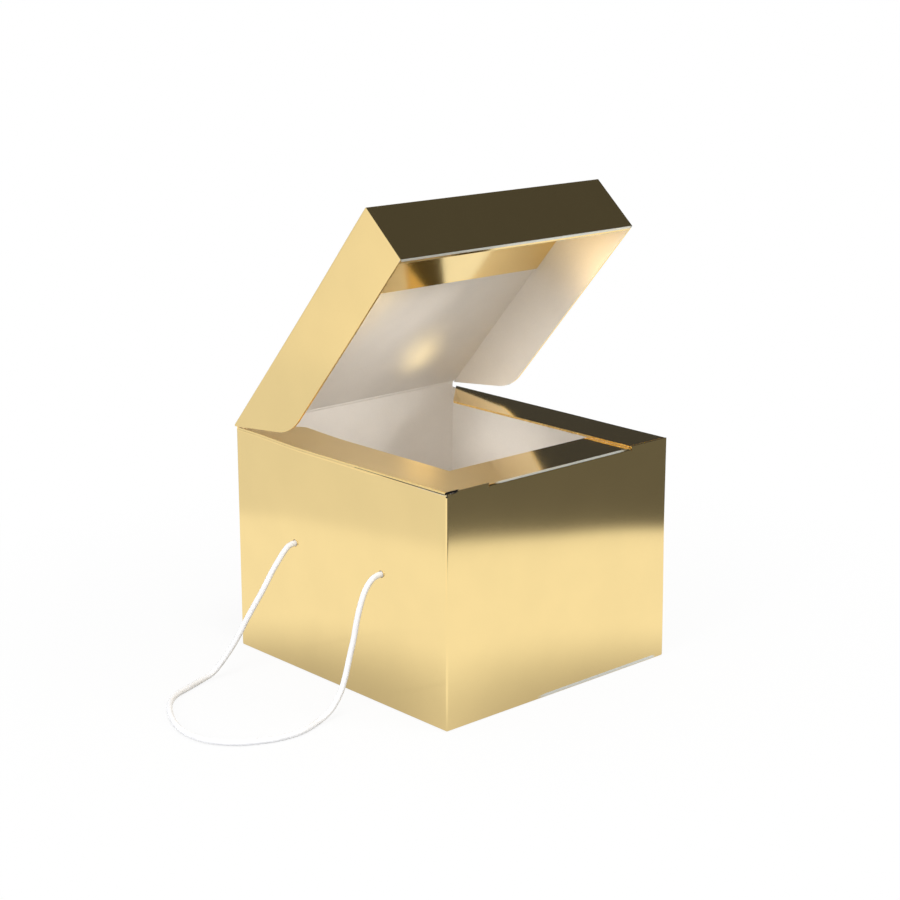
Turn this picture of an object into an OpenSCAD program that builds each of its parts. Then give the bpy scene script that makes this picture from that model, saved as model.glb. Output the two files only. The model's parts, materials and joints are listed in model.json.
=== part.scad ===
// Gift box folded from one sheet of foil board, with a hinged lid and a cord handle.
// Origin at the bottom centre of the carton, +Z up, the front towards -Y, the hinge at the back.

/* [Carton] */
// Outside width of the carton, left to right
body_w = 128; // [100:1:160]
// Outside depth of the carton, front to back
body_d = 137; // [110:1:170]
// Height of the carton to the top of its side rim flaps
body_h = 100; // [85:1:140]
// Thickness of the board
board_t = 0.9; // [0.6:0.1:1.2]
// Outside radius of a fold
fold_r = 0.55; // [0.2:0.05:0.55]
// Clearance at a crease that moves
fold_gap = 0.1; // [0.05:0.05:0.2]

/* [Rim flaps] */
// Width of the flaps round the mouth
rim_flap_w = 22.5; // [15:0.5:30]
// Clearance between a rim flap and what it passes
rim_gap = 0.3; // [0.2:0.05:0.5]
// Distance from the carton's back face to the side flaps' sloping ends
rim_back_gap = 2.5; // [2:0.25:8]
// Angle of the side flaps' sloping ends
rim_end_angle = 45; // [30:1:60]
// Corner radius of the side flaps' free corners
rim_corner_r = 4; // [1:0.5:8]

/* [Lid] */
// Angle between the lid and its closed place
lid_open = 48.7; // [0:0.1:130]
// Depth of the lid's front and side walls
lid_depth = 27.6; // [15:0.2:40]
// Gap between the lid's side walls and the carton
lid_side_gap = 0.25; // [0.2:0.05:1]
// Gap between the lid's front wall and the carton
lid_front_gap = 0.25; // [0.2:0.05:1]
// Gap between the closed lid's lining and the side rim flaps
lid_top_gap = 0.3; // [0.2:0.05:1]
// Distance from the hinge to the start of the lid's side walls
lid_back_gap = 0.5; // [0.3:0.1:3]
// Angle between the lid's top and the back edge of its side walls
lid_back_angle = 43; // [35:1:70]
// Radius of the low back corners of the lid's side walls
lid_corner_r = 22; // [4:1:30]
// Depth of the lining flap under the lid's top
lid_lining_d = 54; // [20:1:80]
// Gap between the lid's lining and its side walls
lining_gap = 0.2; // [0.1:0.05:0.5]
// Width of the corner tabs inside the lid's double front wall
corner_tab_w = 26; // [10:1:40]

/* [Bottom] */
// Depth of the dust flaps at the bottom's left and right
dust_flap_w = 45; // [20:1:48]
// Slope cut from the free corners of the dust flaps
dust_flap_cut = 10; // [2:1:15]
// Overlap of the front and back bottom flaps
bottom_lap = 50; // [20:1:80]
// Gap between a bottom flap and the walls beside it
bottom_gap = 0.3; // [0.2:0.1:1]
// Width of the glued tab that closes the carton's back left corner
seam_tab_w = 14; // [8:1:20]
// Distance from the seam tab's ends to the rim and to the bottom flaps
seam_tab_gap = 4; // [2:1:10]

/* [Handle] */
// Diameter of the cord
cord_d = 2.5; // [2:0.1:3.5]
// Gap round the cord in its holes
cord_gap = 0.3; // [0.1:0.05:0.6]
// Distance between the two holes of a side wall
hole_spacing = 57; // [40:1:80]
// Height of the holes above the bottom
hole_h = 57; // [40:1:65]
// Diameter of the knots behind the holes
knot_d = 7.5; // [6:0.5:10]
// Length of cord that stands straight out of a hole
cord_exit = 1.5; // [0.5:0.5:3]
// Length of the cut end below a knot
knot_tail = 9; // [5:1:20]

/* [Hidden] */

$fn = 48;
// Extra reach of a cutting shape past what it cuts
cut = 1;
// Depth of the sloping cuts where two panels meet at a fold
mitre = 3 * board_t;
inner_w = body_w - 2 * board_t;
inner_d = body_d - 2 * board_t;
side_wall_h = body_h - board_t - fold_gap;
front_wall_h = side_wall_h - board_t;
mouth_w = body_w - 2 * rim_flap_w;
hole_d = cord_d + 2 * cord_gap;

hinge_y = body_d / 2;
hinge_z = body_h + 2 * board_t + lid_top_gap;
lid_w = body_w + 2 * (lid_side_gap + board_t);
lid_front_t = 3 * board_t;
lid_d = body_d + lid_front_gap + lid_front_t;
lining_w = lid_w - 2 * (board_t + lining_gap);

foil = [0.85, 0.74, 0.48];
lining_foil = [0.80, 0.66, 0.38];
board_white = [0.93, 0.90, 0.86];
cord_white = [0.96, 0.96, 0.97];

// Sides of the cord's tube and the longest step between its rings
cord_sides = 8;
ring_step = 6;
// Height of the cord's middle where it lies on what the box stands on
lie = 1.35;
// The cord's route: distance out from the left wall, place along it and height
route = [
    [cord_exit, -hole_spacing / 2, hole_h],
    [5, -28.5, 56], [8.5, -28.5, 52.5], [11, -28.5, 47.5], [13, -28, 40], [14.5, -27.5, 32],
    [16.5, -27, 24], [19, -27, 16], [22, -27, 9.5], [27, -27, 4], [34, -28, 1.6],
    [45, -31, lie], [54.5, -30.5, lie], [63, -27.5, lie], [71.5, -22, lie], [78, -13, lie],
    [80, -2, lie], [78, 9, lie], [73, 20, lie], [67, 29, lie], [60, 35, lie],
    [51, 38.5, lie], [42, 41.5, 1.6], [36, 42, 3], [32.5, 41, 6.5], [28.5, 39, 12.5],
    [25.5, 37, 18.5], [22.5, 35, 25.5], [19.5, 33, 32], [16, 31, 39], [12, 30, 46],
    [8, 29, 52], [4.5, 28.5, 56],
    [cord_exit, hole_spacing / 2, hole_h]
];

// A rectangle with rounded corners, from its low corner to its high one
module soft_rect(low, high, r) {
    size = high - low;
    translate(low + [r, 0])
        square([size.x - 2 * r, size.y]);
    translate(low + [0, r])
        square([size.x, size.y - 2 * r]);
    for (x = [low.x + r, high.x - r], y = [low.y + r, high.y - r])
        translate([x, y])
            circle(r);
}

// Draws an outline given in Y and Z as a bar along X, centred
module along_x(length) {
    rotate([90, 0, 90])
        linear_extrude(length, center = true)
            children();
}

// Draws an outline given in X and Z as a bar along Y, centred
module along_y(length) {
    rotate([90, 0, 0])
        linear_extrude(length, center = true)
            children();
}

// The carton's four walls as one closed tube, seen from above
module tube_outline() {
    difference() {
        soft_rect([-body_w / 2, -body_d / 2], [body_w / 2, body_d / 2], fold_r);
        square([inner_w, inner_d], center = true);
    }
}

// One wall of the tube: the part of it between the slopes of its two corner folds
module wall(width, depth, height) {
    linear_extrude(height)
        intersection() {
            tube_outline();
            polygon([
                [-width / 2 - cut, -depth / 2 - cut],
                [width / 2 + cut, -depth / 2 - cut],
                [width / 2 - mitre, -depth / 2 + mitre],
                [-width / 2 + mitre, -depth / 2 + mitre]
            ]);
        }
}

module front_wall() {
    color(foil)
        difference() {
            wall(body_w, body_d, body_h);
            translate([-mouth_w / 2, -body_d / 2 - cut, front_wall_h])
                cube([mouth_w, board_t + 2 * cut, body_h]);
        }
}

// The left side wall, with the two holes of its handle; the right one is its mirror image
module side_wall() {
    color(foil)
        difference() {
            linear_extrude(side_wall_h)
                intersection() {
                    tube_outline();
                    polygon([
                        [-body_w / 2 - cut, -body_d / 2 - cut],
                        [-body_w / 2 + mitre, -body_d / 2 + mitre],
                        [-body_w / 2 + mitre, body_d / 2 - mitre],
                        [-body_w / 2 - cut, body_d / 2 + cut]
                    ]);
                }
            for (y = [-1, 1] * hole_spacing / 2)
                translate([-body_w / 2 - cut, y, hole_h])
                    rotate([0, 90, 0])
                        cylinder(d = hole_d, h = board_t + 2 * cut);
        }
}

module left_wall() {
    side_wall();
}

module right_wall() {
    mirror([1, 0, 0])
        side_wall();
}

// The back wall rises to the lid's hinge and ends in a slope that clears the closed lid
module back_wall() {
    color(foil)
        intersection() {
            mirror([0, 1, 0])
                wall(body_w, body_d, hinge_z);
            along_x(body_w + cut)
                polygon([
                    [hinge_y + cut, 0],
                    [hinge_y + cut, hinge_z - fold_gap + cut],
                    [hinge_y - mitre, hinge_z - fold_gap - mitre],
                    [hinge_y - mitre, 0]
                ]);
        }
}

module side_seam_tab() {
    low = 3 * board_t + seam_tab_gap;
    high = side_wall_h - seam_tab_gap;
    color(board_white)
        translate([-inner_w / 2, inner_d / 2, 0])
            rotate([90, 0, 0])
                linear_extrude(board_t)
                    polygon([
                        [0, low],
                        [seam_tab_w, low + seam_tab_gap],
                        [seam_tab_w, high - seam_tab_gap],
                        [0, high]
                    ]);
}

// The left dust flap is the bottom's top layer; the right one is its mirror image
module dust_flap() {
    length = inner_d - 2 * bottom_gap;
    color(board_white)
        translate([-inner_w / 2, 0, 2 * board_t])
            linear_extrude(board_t)
                polygon([
                    [0, -length / 2],
                    [dust_flap_w - dust_flap_cut, -length / 2],
                    [dust_flap_w, -length / 2 + dust_flap_cut],
                    [dust_flap_w, length / 2 - dust_flap_cut],
                    [dust_flap_w - dust_flap_cut, length / 2],
                    [0, length / 2]
                ]);
}

module bottom_left_flap() {
    dust_flap();
}

module bottom_right_flap() {
    mirror([1, 0, 0])
        dust_flap();
}

// A bottom flap from the front wall to past the middle, in the given layer from below
module closing_flap(layer) {
    color(foil)
        translate([-inner_w / 2 + bottom_gap, -inner_d / 2, layer * board_t])
            cube([inner_w - 2 * bottom_gap, (inner_d + bottom_lap) / 2, board_t]);
}

module bottom_front_flap() {
    closing_flap(0);
}

module bottom_back_flap() {
    mirror([0, 1, 0])
        closing_flap(1);
}

// Cross-section of a rim flap: it starts at the wall's outer face, where its fold is rounded
module flap_section(width) {
    difference() {
        translate([0, -board_t])
            square([width, board_t]);
        difference() {
            translate([-cut, -fold_r])
                square([cut + fold_r, fold_r + cut]);
            translate([fold_r, -fold_r])
                circle(fold_r);
        }
    }
}

// The left rim flap lies between the front and back walls; the right one is its mirror image
module side_rim_flap() {
    front = -inner_d / 2 + rim_gap;
    back = body_d / 2 - rim_back_gap;
    slope_d = rim_flap_w * tan(rim_end_angle);
    ease = rim_corner_r * tan((90 - rim_end_angle) / 2);
    color(foil)
        translate([-body_w / 2, 0, 0])
            intersection() {
                translate([0, 0, body_h])
                    along_y(2 * body_d)
                        flap_section(rim_flap_w);
                linear_extrude(2 * body_h) {
                    polygon([
                        [-cut, front],
                        [rim_flap_w, front],
                        [rim_flap_w, back - slope_d - ease],
                        [rim_flap_w - ease * cos(rim_end_angle),
                            back - slope_d + ease * sin(rim_end_angle)],
                        [0, back],
                        [-cut, back]
                    ]);
                    translate([rim_flap_w - rim_corner_r, back - slope_d - ease])
                        circle(rim_corner_r);
                }
            }
}

module left_rim_flap() {
    side_rim_flap();
}

module right_rim_flap() {
    mirror([1, 0, 0])
        side_rim_flap();
}

// The front rim flap lies one thickness lower, between the side flaps
module front_rim_flap() {
    color(foil)
        translate([0, -body_d / 2, body_h - board_t])
            along_x(mouth_w - 2 * rim_gap)
                flap_section(rim_flap_w);
}

// Places a piece that is drawn on the closed lid, from the hinge forwards and down
module on_lid() {
    translate([0, hinge_y, hinge_z])
        rotate([-lid_open, 0, 0])
            children();
}

// The lid's outer skin before it is parted into panels
module lid_shell() {
    reach = 2 * lid_depth;
    difference() {
        intersection() {
            along_y(2 * (lid_d + reach))
                soft_rect([-lid_w / 2, -reach], [lid_w / 2, 0], fold_r);
            along_x(lid_w)
                soft_rect([-lid_d, -lid_depth], [reach, 0], fold_r);
            translate([0, 0, -lid_depth])
                linear_extrude(lid_depth)
                    soft_rect([-lid_w / 2, -lid_d], [lid_w / 2, reach], fold_r);
        }
        translate([-lid_w / 2 + board_t, -lid_d + board_t, -lid_depth - cut])
            cube([lid_w - 2 * board_t, lid_d + reach, lid_depth + cut - board_t]);
    }
}

module lid_top() {
    color(foil)
        on_lid()
            intersection() {
                lid_shell();
                along_y(3 * lid_d)
                    polygon([
                        [-lid_w / 2 - cut, cut],
                        [lid_w / 2 + cut, cut],
                        [lid_w / 2 - mitre, -mitre],
                        [-lid_w / 2 + mitre, -mitre]
                    ]);
                along_x(lid_w)
                    polygon([
                        [-lid_d - cut, cut],
                        [-fold_gap + cut, cut],
                        [-fold_gap - mitre, -mitre],
                        [-lid_d + mitre, -mitre]
                    ]);
            }
}

// Outline of the lid's side walls, with the sloping back edge and its round corner
module lid_side_outline() {
    corner = [-lid_back_gap - lid_depth / tan(lid_back_angle), -lid_depth];
    ease = lid_corner_r * tan(lid_back_angle / 2);
    on_slope = corner + ease * [cos(lid_back_angle), sin(lid_back_angle)];
    on_edge = corner - [ease, 0];
    middle = on_edge + [0, lid_corner_r];
    difference() {
        polygon([
            [-lid_back_gap, cut],
            [-lid_back_gap, 0],
            corner,
            [-lid_d - cut, -lid_depth],
            [-lid_d - cut, cut]
        ]);
        difference() {
            polygon([on_slope, corner, on_edge, middle]);
            translate(middle)
                circle(lid_corner_r);
        }
    }
}

// The lid's left side wall; the right one is its mirror image
module lid_side() {
    intersection() {
        lid_shell();
        along_x(lid_w)
            lid_side_outline();
        along_y(3 * lid_d)
            polygon([
                [-lid_w / 2 - cut, cut],
                [-lid_w / 2 + mitre, -mitre],
                [-lid_w / 2 + mitre, -lid_depth - cut],
                [-lid_w / 2 - cut, -lid_depth - cut]
            ]);
        translate([0, 0, -lid_depth])
            linear_extrude(2 * lid_depth)
                polygon([
                    [-lid_w / 2 - cut, -lid_d - cut],
                    [-lid_w / 2 + mitre, -lid_d + mitre],
                    [-lid_w / 2 + mitre, cut],
                    [-lid_w / 2 - cut, cut]
                ]);
    }
}

module lid_left_side() {
    color(foil)
        on_lid()
            lid_side();
}

module lid_right_side() {
    color(foil)
        on_lid()
            mirror([1, 0, 0])
                lid_side();
}

// The front wall's outer panel, down to the middle of the fold at its lower edge
module lid_front_outer() {
    color(foil)
        on_lid()
            intersection() {
                lid_shell();
                along_x(lid_w)
                    polygon([
                        [-lid_d - cut, cut],
                        [-lid_d + mitre, -mitre],
                        [-lid_d + mitre, -lid_depth + mitre],
                        [-lid_d - cut, -lid_depth - cut]
                    ]);
                translate([0, 0, -lid_depth])
                    linear_extrude(2 * lid_depth)
                        polygon([
                            [-lid_w / 2 - cut, -lid_d - cut],
                            [lid_w / 2 + cut, -lid_d - cut],
                            [lid_w / 2 - mitre, -lid_d + mitre],
                            [-lid_w / 2 + mitre, -lid_d + mitre]
                        ]);
            }
}

// The front wall rolls over at its lower edge and comes up again on the inside
module lid_front_inner() {
    top = -2 * board_t;
    color(lining_foil)
        on_lid()
            along_x(lining_w)
                difference() {
                    soft_rect([-lid_d, -lid_depth], [-lid_d + lid_front_t, cut], fold_r);
                    translate([-lid_d - cut, top])
                        square([lid_front_t + 2 * cut, 2 * cut - top]);
                    translate([-lid_d + board_t, -lid_depth + board_t])
                        square([board_t, lid_depth]);
                    polygon([
                        [-lid_d - cut, -lid_depth - cut],
                        [-lid_d + board_t, -lid_depth + board_t],
                        [-lid_d + board_t, cut],
                        [-lid_d - cut, cut]
                    ]);
                }
}

module lid_lining_flap() {
    color(lining_foil)
        on_lid()
            translate([-lining_w / 2, -lid_d + 2 * board_t, -2 * board_t])
                cube([lining_w, board_t + lid_lining_d, board_t]);
}

// The left corner tab, held inside the double front wall; the right one is its mirror image
module corner_tab() {
    height = lid_depth - 2 * board_t - 2 * lining_gap;
    color(board_white)
        translate([-lid_w / 2 + board_t, -lid_d + board_t, -lid_depth + board_t + lining_gap])
            cube([corner_tab_w, board_t, height]);
}

module lid_left_corner_tab() {
    on_lid()
        corner_tab();
}

module lid_right_corner_tab() {
    on_lid()
        mirror([1, 0, 0])
            corner_tab();
}

// A point of a smooth curve through p[i] and p[i + 1], at t from 0 to 1
function curve(p, i, t) =
    let (
        a = p[max(i - 1, 0)],
        b = p[i],
        c = p[i + 1],
        d = p[min(i + 2, len(p) - 1)]
    )
    b + (t * (c - a) + t * t * (2 * a - 5 * b + 4 * c - d) + t * t * t * (3 * b - a - 3 * c + d)) / 2;

function unit(v) = v / norm(v);

// The route's curve, with one or more steps from each point to the next
function smooth(p) = [
    for (i = [0 : len(p) - 2])
        let (steps = ceil(norm(p[i + 1] - p[i]) / ring_step))
            for (k = [0 : steps - 1])
                curve(p, i, k / steps),
    p[len(p) - 1]
];

// Direction of the path at point i, square to the wall at both ends
function heading(path, i) =
    i == 0 ? [-1, 0, 0] : i == len(path) - 1 ? [1, 0, 0] : unit(path[i + 1] - path[i - 1]);

// A ring of points round point i of the path
function ring(path, i, d) =
    let (
        ahead = heading(path, i),
        side = unit(cross(ahead, [1, 1, 1])),
        over = cross(ahead, side)
    )
    [for (k = [0 : cord_sides - 1])
        path[i] + d / 2 * (side * cos(360 * k / cord_sides) + over * sin(360 * k / cord_sides))];

// A closed tube of round section along a path
module tube(path, d) {
    n = cord_sides;
    last = (len(path) - 1) * n;
    points = [for (i = [0 : len(path) - 1]) each ring(path, i, d)];
    sides = [
        for (i = [0 : len(path) - 2], k = [0 : n - 1])
            let (a = i * n + k, b = i * n + (k + 1) % n)
                each [[a, a + n, b], [b, a + n, b + n]]
    ];
    ends = [
        [for (k = [0 : n - 1]) k],
        [for (k = [n - 1 : -1 : 0]) last + k]
    ];
    polyhedron(points, concat(sides, ends));
}

module handle_cord() {
    color(cord_white)
        tube(smooth([for (p = route) [-body_w / 2 - p.x, p.y, p.z]]), cord_d);
}

// The cord through a hole, its knot against the inside of the wall and its cut end
module knot(y) {
    seat = knot_d / 2 - board_t;
    color(cord_white)
        translate([-inner_w / 2, y, hole_h]) {
            intersection() {
                translate([seat, 0, 0])
                    sphere(d = knot_d);
                translate([0, -knot_d, -knot_d])
                    cube(2 * knot_d);
            }
            translate([-board_t - cord_exit, 0, 0])
                rotate([0, 90, 0])
                    cylinder(d = cord_d, h = board_t + cord_exit + seat);
            translate([seat, 0, -knot_d / 2 - knot_tail])
                cylinder(d = cord_d, h = knot_tail + knot_d / 2);
        }
}

module handle_knot_front() {
    knot(-hole_spacing / 2);
}

module handle_knot_back() {
    knot(hole_spacing / 2);
}

front_wall();
left_wall();
right_wall();
back_wall();
side_seam_tab();
bottom_left_flap();
bottom_right_flap();
bottom_back_flap();
bottom_front_flap();
left_rim_flap();
right_rim_flap();
front_rim_flap();
lid_top();
lid_left_side();
lid_right_side();
lid_front_outer();
lid_front_inner();
lid_lining_flap();
lid_left_corner_tab();
lid_right_corner_tab();
handle_cord();
handle_knot_front();
handle_knot_back();
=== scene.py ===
import json
import math

import bmesh
import bpy
from mathutils import Matrix, Vector


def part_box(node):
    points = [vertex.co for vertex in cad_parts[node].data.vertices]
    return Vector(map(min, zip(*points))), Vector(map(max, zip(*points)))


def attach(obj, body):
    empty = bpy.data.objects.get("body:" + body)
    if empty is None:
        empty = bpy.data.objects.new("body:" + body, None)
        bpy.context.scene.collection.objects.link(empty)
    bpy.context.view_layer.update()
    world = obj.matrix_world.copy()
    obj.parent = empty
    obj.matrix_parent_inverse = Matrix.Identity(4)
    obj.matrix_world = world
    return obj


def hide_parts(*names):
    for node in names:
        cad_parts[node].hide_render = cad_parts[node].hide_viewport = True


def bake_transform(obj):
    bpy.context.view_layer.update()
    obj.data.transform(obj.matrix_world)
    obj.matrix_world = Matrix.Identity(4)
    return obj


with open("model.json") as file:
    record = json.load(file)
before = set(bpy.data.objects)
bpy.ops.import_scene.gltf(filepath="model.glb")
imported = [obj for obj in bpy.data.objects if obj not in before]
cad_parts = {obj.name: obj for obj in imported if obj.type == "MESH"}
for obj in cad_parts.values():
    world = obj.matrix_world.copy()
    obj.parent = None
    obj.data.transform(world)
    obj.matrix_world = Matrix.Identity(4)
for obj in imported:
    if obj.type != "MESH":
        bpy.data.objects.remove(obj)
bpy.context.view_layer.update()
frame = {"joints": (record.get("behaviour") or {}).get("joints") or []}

bl_info = {
    "name": "Foil gift box",
    "version": (1, 0, 0),
    "blender": (4, 5, 0),
    "location": "3D View > Sidebar > Gift Box",
    "description": "Builds an open foil gift box with a cord handle around its packed CAD model",
    "category": "Object",
}

MM = 0.001
# Distances below which points of an outline, and of a shell, count as one place
TOUCH, NEAR = 1e-7, 1e-6

# Sizes of the board and the carton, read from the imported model
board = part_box("bottom_front_flap")[1].z
crease_gap = 0.1 * MM
side_half, depth_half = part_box("right_wall")[1].x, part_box("back_wall")[1].y
ear_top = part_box("front_wall")[1].z
front_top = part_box("front_rim_flap")[0].z - crease_gap
side_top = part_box("left_wall")[1].z
back_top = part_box("back_wall")[1].z
rim_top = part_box("left_rim_flap")[1].z
mouth_half = -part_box("left_rim_flap")[1].x
flap_depth = 25.8 * MM
crease_r, lid_crease_r = 0.75 * MM, 0.20 * MM

# How far the folded board stands out of true
right_flare, left_spread, back_left_rise = 1.1 * MM, 0.40 * MM, 1.1 * MM
lid_spread, lid_flare, lid_pull = 0.25 * MM, 1.2 * MM, 0.5 * MM

# Sizes of the lid, on the closed lid: across, forwards from the hinge and down from its top
lid_joint = next(j for j in frame["joints"] if j["name"] == "lid_hinge")
hinge = Vector(lid_joint["pos_m"])
lid_open = math.radians(-lid_joint["range_deg"][0])
lid_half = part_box("lid_right_side")[1].x
lining_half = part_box("lid_lining_flap")[1].x
lid_reach = 139.74 * MM
lid_depth = 27.6 * MM
lid_back_gap, lid_back_drop = 0.5 * MM, 0.9 * MM
lid_back_slope = math.radians(43)
lid_corner_r = 22 * MM
lining_reach = 54.9 * MM

# Sizes of the handle
hole_y, hole_z, hole_r = 28.5 * MM, 57 * MM, 1.55 * MM
knot_in = 3.1 * MM
cord_step = 0.35 * MM

# The cord from the front hole to the back one: millimetres out from the wall, along Y and up
CORD_ROUTE = [
    (1.5, -28.5, 57), (5, -28.5, 56), (8.5, -28.5, 52.5), (11, -28.5, 47.5), (13, -28, 40),
    (14.5, -27.5, 32), (16.5, -27, 24), (19, -27, 16), (22, -27, 9.5), (27, -27, 4), (34, -28, 1.6),
    (45, -31, 1.35), (54.5, -30.5, 1.35), (63, -27.5, 1.35), (71.5, -22, 1.35), (78, -13, 1.35),
    (80, -2, 1.35), (78, 9, 1.35), (73, 20, 1.35), (67, 29, 1.35), (60, 35, 1.35), (51, 38.5, 1.35),
    (42, 41.5, 1.6), (36, 42, 3), (32.5, 41, 6.5), (28.5, 39, 12.5), (25.5, 37, 18.5),
    (22.5, 35, 25.5), (19.5, 33, 32), (16, 31, 39), (12, 30, 46), (8, 29, 52), (4.5, 28.5, 56),
    (1.5, 28.5, 57),
]

# Turns of a knot round its middle, in cord diameters: inwards, back and up
KNOT = [
    (-0.55, -0.30, 0.25), (0.10, -0.85, 0.55), (0.75, -0.45, 0.95), (0.55, 0.50, 0.85),
    (-0.20, 0.95, 0.10), (-0.35, 0.55, -0.75), (0.25, -0.35, -0.90), (0.80, -0.65, -0.15),
    (0.60, 0.05, 0.35), (0.15, 0.15, -0.50), (-0.05, 0, -1.60),
]

# The worn notch at the top of the near corner: millimetres in from the corner and down
NOTCH = [(6.2, 0), (5.4, 0.75), (4.2, 0.95), (2.6, 0.9), (1.6, 0.6), (1.2, 0.6)]

# Light that the foil mirrors onto the paper, in the lid and down into the carton:
# from, to, width, spread in degrees, share and colour
GLOWS = [
    ((0.0280, 0.0268, 0.1004), (0.0280, 0.0516, 0.1217), 0.010, 50, 0.20, (1.0, 0.79, 0.35)),
    ((0.0215, 0.0198, 0.1084), (0.0215, 0.0446, 0.1297), 0.012, 54, 0.17, (1.0, 0.79, 0.35)),
    ((-0.018, -0.039, 0.1155), (-0.045, 0.0157, 0.162), 0.020, 60, 1.8, (1.0, 0.77, 0.35)),
    ((0.032, -0.049, 0.1215), (0.064, -0.0287, 0.1764), 0.020, 56, 3.1, (1.0, 0.70, 0.28)),
    ((-0.025, -0.020, 0.148), (0.045, 0.040, 0.080), 0.040, 100, 4.1, (1.0, 0.97, 0.93)),
    ((0.020, -0.015, 0.145), (-0.055, 0.068, 0.092), 0.040, 80, 2.9, (1.0, 0.97, 0.94)),
    ((-0.045, 0.000, 0.118), (0.064, 0.035, 0.075), 0.025, 38, 0.75, (1.0, 0.98, 0.95)),
]

# The soft lamps of the studio: name, place, point that they shine at and width
LAMPS = [
    ("key", (-0.15, -0.35, 1.0), (0, 0, 0.1), 0.3),
    ("front", (0.45, -0.80, 0.60), (0, 0, 0.1), 0.35),
    ("left", (-1.05, -0.27, 0.36), (0.06, 0.04, 0.09), 0.35),
]

# Finishes of the board and their numbers on its faces
# The last finish is painted shade, for places where there is only shade
BOARD_FINISHES = ("gold_foil", "white_paper", "gold_edge", "dark_core")
FOIL, PAPER, EDGE, PAINTED_SHADE = range(4)


def number_field(name, description, default, low, high, **kind):
    """A number for the panel, with its limits"""
    return bpy.props.FloatProperty(
        name=name, description=description, default=default, min=low, max=high, **kind)


def colour_field(name, description, default):
    """A colour for the panel"""
    return bpy.props.FloatVectorProperty(
        name=name, description=description, default=default, subtype="COLOR", size=3, min=0, max=1)


class GiftBoxSizes(bpy.types.PropertyGroup):
    """Sizes of the folded board and the cord"""
    bow: number_field(
        "Panel bow", "How far a panel's middle stands off the flat",
        0.04 * MM, 0, 0.3 * MM, unit="LENGTH")
    grid: number_field(
        "Grid", "Widest spacing of the lines across a panel",
        8 * MM, 2 * MM, 20 * MM, unit="LENGTH")
    cord_diameter: number_field(
        "Cord diameter", "Thickness of the handle's cord",
        2.5 * MM, 1 * MM, 4 * MM, unit="LENGTH")
    braid_relief: number_field(
        "Braid relief", "Depth of the grooves between the cord's strands",
        0.025 * MM, 0, 0.3 * MM, unit="LENGTH")
    braid_pitch: number_field(
        "Braid pitch", "Length of cord in which a strand goes once round it",
        10 * MM, 4 * MM, 30 * MM, unit="LENGTH")


class GiftBoxFinishes(bpy.types.PropertyGroup):
    """Colours and surface of the foil, the paper and the cord"""
    foil: colour_field("Foil", "Colour of the foil's lacquer", (0.99, 0.762, 0.353))
    foil_roughness: number_field(
        "Foil roughness", "How much the foil blurs what it mirrors",
        0.11, 0, 1, subtype="FACTOR")
    # Also the colour of the painted highlights along the carton's left rim and the front wall's
    # foot
    worn_and_highlit_foil: colour_field(
        "Worn foil", "Colour of a crease where the lacquer has rubbed off", (0.86, 0.87, 0.80))
    paper: colour_field("Paper", "Colour of the board's white side", (0.92, 0.872, 0.808))
    cord: colour_field("Cord", "Colour of the handle's cord", (0.97, 0.975, 1.0))


class GiftBoxStage(bpy.types.PropertyGroup):
    """Floor, light and surroundings"""
    floor_bright_r: number_field(
        "Bright floor", "Radius of the floor that the foil mirrors as white",
        0.300, 0.1, 2, unit="LENGTH")
    dark: number_field(
        "Dark side", "Level of what the foil mirrors at the right",
        0.125, 0, 1, subtype="FACTOR")
    bright: number_field(
        "Bright side", "Level of what the foil mirrors at the left",
        0.80, 0, 1, subtype="FACTOR")
    fill: number_field(
        "Fill", "Level of the soft light from all round",
        0.63, 0, 2, subtype="FACTOR")
    key_power: number_field(
        "Key lamp", "Power of the soft lamp above the front",
        3.5, 0, 50, unit="POWER")
    front_power: number_field(
        "Front lamp", "Power of the soft lamp at the front right",
        2.2, 0, 50, unit="POWER")
    left_power: number_field(
        "Left lamp", "Power of the soft lamp at the left",
        4.4, 0, 50, unit="POWER")
    glow_power: number_field(
        "Foil glow", "Power of the light that the foil throws onto the paper inside",
        0.002, 0, 1, unit="POWER")


def sizes():
    return bpy.context.scene.gift_box_sizes


def finishes():
    return bpy.context.scene.gift_box_finishes


def stage():
    return bpy.context.scene.gift_box_stage


def add_object(name, data):
    """Links a new object for a mesh, lamp or camera"""
    made = bpy.data.objects.new(name, data)
    bpy.context.scene.collection.objects.link(made)
    return made


def feed(tree, socket, value):
    """Links a value to a socket or sets it there"""
    if isinstance(value, bpy.types.NodeSocket):
        tree.links.new(value, socket)
    else:
        socket.default_value = value


def add_node(tree, kind, sockets=None, **settings):
    """A shader node with its settings, and its sockets set or linked"""
    made = tree.nodes.new("ShaderNode" + kind)
    for name, value in settings.items():
        setattr(made, name, value)
    for name, value in (sockets or {}).items():
        feed(tree, made.inputs[name], value)
    return made


def colour(rgb):
    return (*rgb, 1.0)


def grey(level):
    return colour((level, level, level))


def new_material(name):
    """An empty material, its node tree, its shader and its object coordinates"""
    made = bpy.data.materials.new(name)
    made.use_nodes = True
    tree = made.node_tree
    shader = tree.nodes["Principled BSDF"]
    place = add_node(tree, "TexCoord").outputs["Object"]
    return made, tree, shader, place


def mixed(tree, factor, a, b):
    """Colour a turning into colour b by a factor"""
    node = add_node(tree, "Mix", {0: factor, 6: a, 7: b}, data_type="RGBA")
    return node.outputs[2]


def ranged(tree, value, low, high, to_low=0.0, to_high=1.0, eased=True):
    """A value's range laid over another one"""
    return add_node(tree, "MapRange", {
        "Value": value, "From Min": low, "From Max": high, "To Min": to_low, "To Max": to_high,
    }, interpolation_type="SMOOTHSTEP" if eased else "LINEAR").outputs["Result"]


def reckoned(tree, operation, *values):
    """The result of an operation on two or three values"""
    node = add_node(tree, "Math", dict(enumerate(values)), operation=operation)
    return node.outputs[0]


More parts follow.
